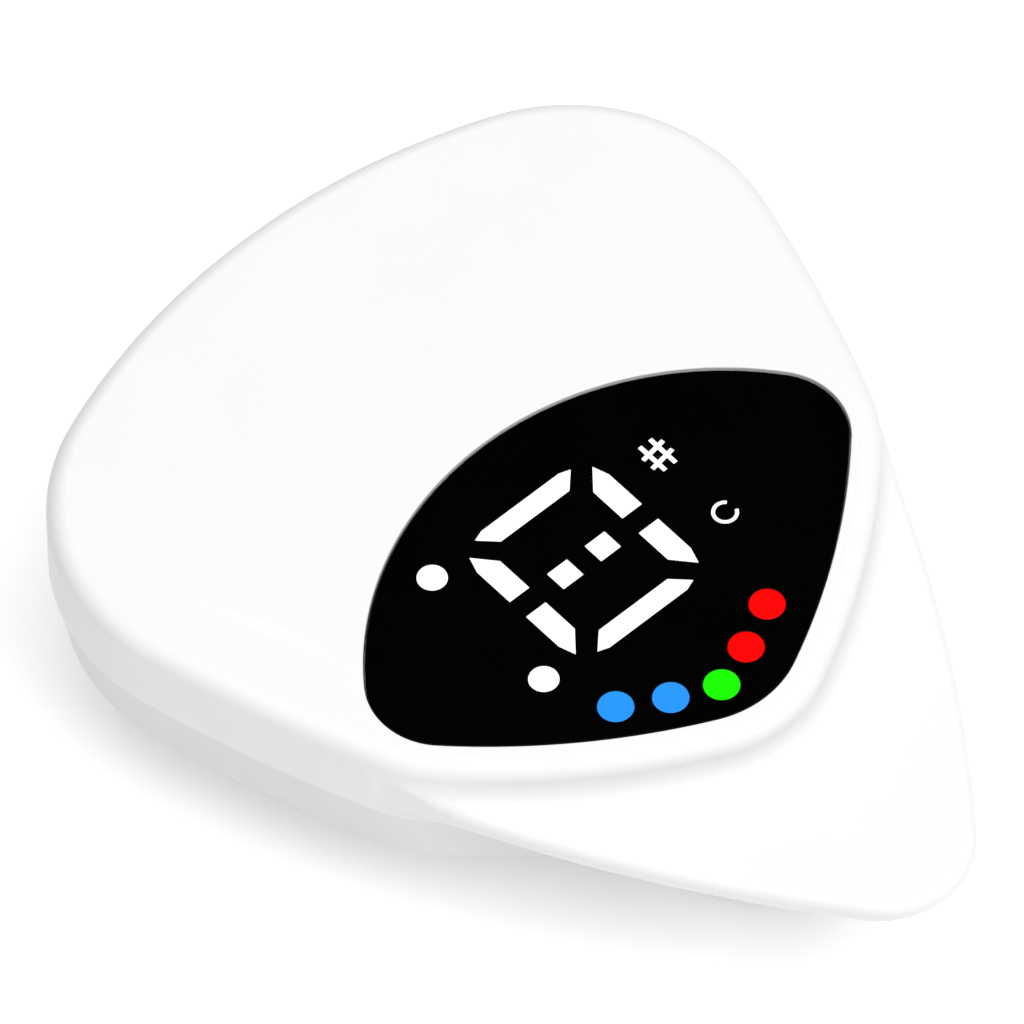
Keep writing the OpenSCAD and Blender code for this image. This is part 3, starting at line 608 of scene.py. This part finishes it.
# ---- Covers ----
PIPE_NODES = ("side_dots", "blue_dots", "green_dot", "red_dots", "mode_icons")
BUTTON_Y = (BUTTON_LO.y + BUTTON_HI.y) / 2
BUTTON_Z = (BUTTON_LO.z + BUTTON_HI.z) / 2
PORT_Z = (SOCKET_LO.z + SOCKET_HI.z) / 2


def reach(point, angle):
    """How far the pick's edge is from a point of the body's outline, straight outward."""
    u = polar(Vector((0, 0)), 1, angle)
    nearest = None
    for c, r, start, end in PICK:
        to = point - c
        b = to.dot(u)
        rest = b * b - to.length_squared + r * r
        if rest < 0:
            continue
        far = -b + math.sqrt(rest)
        hit = bearing(c, point + u * far)
        if (hit - start) % 360 <= end - start + 1e-6 and (nearest is None or far < nearest):
            nearest = far
    return max(nearest or 0.0, 0.0)


def cover_column(width, rows=10):
    """Profile (outward, height) of the front cover's outside, with a blade of a width."""
    edge = min(BLADE_EDGE_R, width / 2)

    def blade_top(out):
        run = max(ROOT_R - out, 0)
        return BLADE_TOP_Z + ROOT_R - math.sqrt(ROOT_R ** 2 - run ** 2)

    quarter_turn = [math.pi / 2 * i / rows for i in range(rows + 1)]
    under = [(width - edge + edge * math.sin(t), BLADE_Z + edge - edge * math.cos(t))
             for t in quarter_turn]
    over = []
    for t in quarter_turn:
        out = width - edge * (1 - math.cos(t))
        over.append((out, blade_top(out) - edge * (1 - math.sin(t))))
    flat_end = min(ROOT_R, width - edge)
    flat = [(width - edge + (flat_end - width + edge) * i / rows, 0) for i in range(1, rows + 1)]
    turn = math.asin(min(max((ROOT_R - flat_end) / ROOT_R, 0), 1))
    hollow = [(ROOT_R - ROOT_R * math.sin(turn + (math.pi / 2 - turn) * i / (2 * rows)), 0)
              for i in range(1, 2 * rows + 1)]
    deck = [(out, blade_top(out)) for out, _ in flat + hollow]
    rim = quarter(-TOP_EDGE_R, TOP_Z - TOP_EDGE_R, TOP_EDGE_R, 0, 14)
    return [(0, SEAM_Z), (0, BLADE_Z)] + under + over + deck + rim


def front_skin():
    """Outside of the front cover: thick body, thin blade, and the hollow where they meet."""
    columns = []
    for arc, angle in samples(BODY, 1.5):
        c, r = arc[0], arc[1]
        width = reach(polar(c, r, angle), angle) if arc in BLADE_ARCS else 0.0
        columns.append([(*polar(c, r + out, angle), z) for out, z in cover_column(width)])
    return skin("front_cover_moulding", list(zip(*columns)))


def window_cutter():
    """Opening for the window, with the soft rim that a mould leaves."""
    flare = [(SLACK + RIM_R * (1 - math.cos(t)), TOP_Z - RIM_R + RIM_R * math.sin(t))
             for t in (math.pi / 2 * i / 8 for i in range(9))]
    return loft("window_cutter", WINDOW,
                [(SLACK, DECK_TOP)] + flare + [(SLACK + RIM_R, TOP_Z + PAST)])


def slot_cutter(name, size, at, mouth, inner):
    """Slot out through a wall: straight inside, with a bevel up to its mouth and past it."""
    rings = [(inner, 0.0), (mouth - MOUTH_BEVEL, 0.0), (mouth, MOUTH_BEVEL),
             (mouth + PAST, MOUTH_BEVEL + MOUTH_FLARE)]
    return skin(name, [[at(p, depth) for p in stadium(*size, grow)] for depth, grow in rings])


def port_cutter():
    """Mouth of the charging port in the wide end's wall."""
    size = (SOCKET_HI.x - SOCKET_LO.x + PORT_GAP, SOCKET_HI.z - SOCKET_LO.z + PORT_GAP)
    return slot_cutter("port_cutter", size, lambda p, y: (p.x, y, PORT_Z + p.y),
                       LENGTH / 2, LENGTH / 2 - PORT_DEPTH)


def button_cutter():
    """Slot for the button, with its mouth on the floor of the finger dish."""
    return slot_cutter("button_cutter", BUTTON_SLOT,
                       lambda p, x: (x, BUTTON_Y + p.x, BUTTON_Z + p.y),
                       WIDTH / 2 - BUTTON_MOUTH, WIDTH / 2 - BUTTON_DEPTH)


def dish_cutter():
    """Shallow finger dish around the power button."""
    low = BUTTON_Z - DISH_HEIGHT / 2
    flat = DISH_R - DISH_EDGE_R
    profile = [(flat, low)] + [
        (flat + DISH_EDGE_R * math.sin(t), low + DISH_EDGE_R - DISH_EDGE_R * math.cos(t))
        for t in (math.pi / 12 * i for i in range(1, 7))]
    profile += [(r, 2 * BUTTON_Z - z) for r, z in reversed(profile)]
    return post("dish_cutter", (WIDTH / 2 + DISH_R - DISH_DEPTH, BUTTON_Y), profile, DISH_SIDES)


def front_cover():
    """Upper shell: hollow but for the window's deck and surround, with bosses and openings."""
    piece = front_skin()
    hollow = loft("hollow_cutter", inset(BODY, WALL), [(0, SEAM_Z - PAST), (0, DECK_Z)])
    upper = loft("roof_cutter", inset(BODY, WALL), [(0, DECK_Z - LAP), (0, ROOF_Z)])
    surround = loft("surround", inset(WINDOW, -WALL), [(0, DECK_Z - PAST), (0, ROOF_Z + PAST)])
    combine(upper, [surround], "DIFFERENCE")
    combine(piece, [hollow, upper], "DIFFERENCE")
    bosses = [post("boss", spot, [(BOSS_R, BOARD_HI.z), (BOSS_R, ROOF_Z + BITE)])
              for spot in SCREW_SPOTS]
    combine(piece, bosses, "UNION")
    holes = [post("screw_hole", spot, [(SCREW_R, BOARD_HI.z - PAST), (SCREW_R, ROOF_Z - BITE)])
             for spot in SCREW_SPOTS]
    openings = [window_cutter(), mask_cutter(), port_cutter(), button_cutter(), dish_cutter()]
    combine(piece, holes + openings + pipe_cutters(), "DIFFERENCE")
    return place(piece, "tuner", "cover_plastic", "front_cover")


def mask_cutter():
    """Square opening in the deck under the digit."""
    x, y = (MASK_LO.x + MASK_HI.x) / 2, (MASK_LO.y + MASK_HI.y) / 2
    wide, tall = (MASK_HI.x - MASK_LO.x) / 2 + SLACK, (MASK_HI.y - MASK_LO.y) / 2 + SLACK
    corners = [(x + u * wide, y + v * tall) for u, v in ((-1, -1), (1, -1), (1, 1), (-1, 1))]
    return skin("mask_cutter", [[(*p, z) for p in corners]
                                for z in (DECK_Z - PAST, DECK_TOP + OVER)])


def islands(node):
    """Boxes of a node's separate solids, in millimetres, from left to right."""
    bm = bmesh.new()
    bm.from_mesh(frame["nodes"][node].data)
    bmesh.ops.remove_doubles(bm, verts=bm.verts, dist=SAME_SPOT)
    left = set(bm.verts)
    found = []
    while left:
        group, edge = set(), [left.pop()]
        while edge:
            v = edge.pop()
            group.add(v)
            near = {e.other_vert(v) for e in v.link_edges} & left
            left -= near
            edge += near
        corners = [[f(v.co[k] / MM for v in group) for k in range(3)] for f in (min, max)]
        found.append((Vector(corners[0]), Vector(corners[1])))
    bm.free()
    return sorted(found, key=lambda b: (round(b[0].x, 2), round(b[0].y, 2)))


def pipe_cutters():
    """Holes in the deck for the light pipes."""
    found = []
    for node in PIPE_NODES:
        for lo, hi in islands(node):
            spot = ((lo.x + hi.x) / 2, (lo.y + hi.y) / 2)
            r = (hi.x - lo.x) / 2 + SLACK
            found.append(post("pipe_cutter", spot, [(r, DECK_Z - PAST), (r, DECK_TOP + OVER)]))
    return found


def rear_cover():
    """Lower shell, drawn in to its underside, with a lip into the upper one and two hinge lugs."""
    lip_z = SEAM_Z - LIP_ROOT
    foot = COVER_TAPER + BOTTOM_EDGE_R
    profile = quarter(-foot, BODY_Z + BOTTOM_EDGE_R, BOTTOM_EDGE_R, -90) + [(0, SEAM_Z)]
    piece = loft("rear_cover_moulding", inset(BODY, SEAM_GROOVE), profile, 1.5)
    lip = loft("lip", inset(BODY, WALL + SLACK), [(0, lip_z), (0, LIP_TOP_Z)])
    bosses = [post("boss", spot, [(BOSS_R, FLOOR_Z - BITE), (BOSS_R, BOARD_LO.z)])
              for spot in SCREW_SPOTS]
    combine(piece, [lip], "UNION")
    cavity = loft("cavity_cutter", inset(BODY, WALL + foot), [(0, FLOOR_Z), (0, lip_z + LAP)])
    lip_hollow = loft("lip_cutter", inset(BODY, WALL + SLACK + LIP),
                      [(0, lip_z), (0, LIP_TOP_Z + PAST)])
    combine(piece, [cavity, lip_hollow], "DIFFERENCE")
    combine(piece, bosses + [hinge_lug(side) for side in (-1, 1)], "UNION")
    seat_z = FLOOR_Z + SCREW_SEAT
    bore = [(SCREW_HEAD_R + SCREW_FLARE + OVER, BODY_Z - OVER),
            (SCREW_HEAD_R + SCREW_FLARE, BODY_Z),
            (SCREW_HEAD_R, BODY_Z + SCREW_FLARE), (SCREW_HEAD_R, seat_z)]
    shank = [(SCREW_R + SLACK, seat_z - OVER), (SCREW_R + SLACK, BOARD_LO.z + PAST)]
    counterbores = [post("counterbore", spot, bore) for spot in SCREW_SPOTS]
    shanks = [post("shank_cutter", spot, shank) for spot in SCREW_SPOTS]
    combine(piece, counterbores + shanks + [port_cutter(), pin_cutter()], "DIFFERENCE")
    return place(piece, "tuner", "cover_plastic", "rear_cover")


def hinge_lug(side):
    """Ear under the body that carries the pin, with soft edges."""
    middle = Vector((HINGE_Y, HINGE_Z))
    shoulder = int(math.degrees(math.acos(LUG_NECK / LUG_R)))
    front = [polar(middle, LUG_R, a) for a in range(-180, 1, LUG_TURN)]
    back = [polar(middle, LUG_R, 180 - a) for a in range(LUG_TURN, shoulder + 1, LUG_TURN)]
    root_z = BODY_Z + LUG_ROOT
    root = [Vector((HINGE_Y + LUG_R, root_z)), Vector((HINGE_Y - LUG_NECK, root_z))]
    rings = []
    for x, shrink in ((LUG_IN, LUG_EDGE), (LUG_IN + LUG_EDGE, 0),
                      (LUG_OUT - LUG_EDGE, 0), (LUG_OUT, LUG_EDGE)):
        ring = []
        for p in front + root + back[::-1]:
            out = p - middle
            at = middle + out * (1 - shrink / out.length) if p.y < BODY_Z - LAP else p
            ring.append((side * x, at.x, at.y))
        rings.append(ring)
    return skin("lug", rings)


def pin_cutter():
    """Hole for the pin through both lugs."""
    ring = circle(PIN_R + PIN_GAP, 48)
    return skin("pin_cutter", [[(x, HINGE_Y + p.x, HINGE_Z + p.y) for p in ring]
                               for x in (-2 * LUG_OUT, 2 * LUG_OUT)])


# ---- Spring ----
WIRE_R = 0.35
COIL_R = 1.6
TURNS = 6
COIL_PITCH = 0.74
COIL_HALF = COIL_PITCH * TURNS / 2
COIL_START, COIL_END = -98, 360 * TURNS + 72
LEG = 2.6
LEG_STEPS = (0.35, 0.7, 0.98, 1.0)      # shares of a leg, with its chamfered end last


def torsion_spring():
    """Round wire wound about the pin: one leg lies on the lever and the other under the body."""
    def at(a, x, along=0.0):
        t = math.radians(a)
        return Vector((x, HINGE_Y + COIL_R * math.cos(t) - along * math.sin(t),
                       HINGE_Z + COIL_R * math.sin(t) + along * math.cos(t)))

    per_turn, sides = 48, 20
    n = per_turn * TURNS
    path = [(at(COIL_START, -COIL_HALF, -LEG * k), COIL_START) for k in reversed(LEG_STEPS)]
    for i in range(n + 1):
        a = COIL_START + (COIL_END - COIL_START) * i / n
        path.append((at(a, COIL_HALF * (2 * i / n - 1)), a))
    path += [(at(COIL_END, COIL_HALF, LEG * k), COIL_END) for k in LEG_STEPS]
    rings = []
    for i, (p, a) in enumerate(path):
        r = WIRE_R * (0.8 if i in (0, len(path) - 1) else 1)
        out = Vector((0, math.cos(math.radians(a)), math.sin(math.radians(a))))
        rings.append([p + r * (math.cos(t) * Vector((1, 0, 0)) + math.sin(t) * out)
                      for t in (2 * math.pi * k / sides for k in range(sides))])
    piece = skin("torsion_spring_wire", rings)
    place(piece, None, "spring_steel", "torsion_spring")
    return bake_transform(piece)


# ---- Build ----
LEVER_VOXEL = 0.14
LEVER_PASSES = 8
EDGE_WIDTHS = {      # how wide each piece's edges are rounded
    "window_lens": 0.06, "digit_segments": 0.04, "mode_icons": 0.03, "side_dots": 0.06,
    "blue_dots": 0.06, "green_dot": 0.06, "red_dots": 0.06,
    "power_button": 0.2, "switch_plunger": 0.08, "tact_switch": 0.1,
    "usb_socket": 0.08, "usb_tongue": 0.1, "cover_screws": 0.1, "hinge_pin": 0.15,
    "upper_pad": 0.12, "lower_pad": 0.12,
    "lens_adhesive": 0.02, "diffuser_film": 0.02, "light_mask": 0.1,
    "main_board": 0.06, "indicator_leds": 0.06, "controller_chip": 0.1, "board_passives": 0.08,
    "battery": 0.3, "battery_pad": 0.08, "battery_connector": 0.2, "battery_leads": 0.05,
    "piezo_plate": 0.05, "piezo_ceramic": 0.05,
}

front_cover()
rear_cover()
torsion_spring()
moulded("clip_lever", LEVER_VOXEL, LEVER_PASSES)
for node, width in EDGE_WIDTHS.items():
    refined(node, width)


# ---- Studio: distances in metres, angles in degrees, powers in watts ----
FLOOR_REACH = 2.0
FLOOR_DROP = 0.0002
FLOOR_GLOW = 0.27
WORLD_GLOW = 0.08
LENS = 886.4
DISTANCE = 1.461
AZIMUTH, ELEVATION, ROLL = -41.1, 54.89, -1.04
TARGET_X, TARGET_Y = 2.645, 10.007      # where the camera looks on the underside, millimetres


def studio_floor():
    """Pale acrylic table, faintly lit from beneath, as small goods are photographed on."""
    bm = bmesh.new()
    bmesh.ops.create_grid(bm, x_segments=2, y_segments=2, size=FLOOR_REACH)
    floor = mesh_object("studio_floor", bm)
    f = Finish("studio_floor")
    soft = f.noise(120, detail=2)
    f.set(Base_Color=f.mix(soft, (0.9, 0.9, 0.9, 1), (0.92, 0.92, 0.92, 1)), Roughness=0.8,
          Emission_Color=(1, 1, 1, 1), Emission_Strength=FLOOR_GLOW)
    floor.data.materials.append(MATERIALS["studio_floor"])
    floor.location.z = -FLOOR_DROP
    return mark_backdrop(floor)


def softbox(name, azimuth, elevation, distance, size, power):
    """Round soft light that faces the object."""
    data = bpy.data.lights.new(name, "AREA")
    data.shape = "DISK"
    data.size = size
    data.energy = power
    lamp = bpy.data.objects.new(name, data)
    bpy.context.scene.collection.objects.link(lamp)
    away = direction(azimuth, elevation)
    lamp.location = away * distance
    lamp.rotation_euler = away.to_track_quat("Z", "Y").to_euler()


def direction(azimuth, elevation):
    """Unit vector towards a place around the object; azimuth 0 is in front, at -Y."""
    a, e = math.radians(azimuth), math.radians(elevation)
    return Vector((math.sin(a) * math.cos(e), -math.cos(a) * math.cos(e), math.sin(e)))


def studio_camera():
    """Long lens above the display's left front, square to the window's near corner."""
    data = bpy.data.cameras.new("camera")
    data.lens = LENS
    data.sensor_width = 36
    data.clip_end = 10
    camera = bpy.data.objects.new("camera", data)
    bpy.context.scene.collection.objects.link(camera)
    target = Vector((TARGET_X, TARGET_Y, BODY_Z)) * MM
    away = direction(AZIMUTH, ELEVATION)
    roll = Matrix.Rotation(math.radians(ROLL), 4, "Z")
    camera.matrix_world = (Matrix.Translation(target + away * DISTANCE)
                           @ away.to_track_quat("Z", "Y").to_matrix().to_4x4() @ roll)
    bpy.context.scene.camera = camera


def studio_world():
    """Even white surroundings that fill the shadows."""
    world = bpy.data.worlds.new("studio")
    bpy.context.scene.world = world
    world.use_nodes = True
    background = world.node_tree.nodes["Background"]
    background.inputs["Color"].default_value = (1, 1, 1, 1)
    background.inputs["Strength"].default_value = WORLD_GLOW
    bpy.context.scene.view_settings.view_transform = "Standard"


studio_floor()
softbox("overhead", azimuth=-10, elevation=82, distance=0.9, size=1.3, power=10.7)
softbox("front", azimuth=8, elevation=45, distance=1.0, size=0.6, power=2.6)
studio_camera()
studio_world()
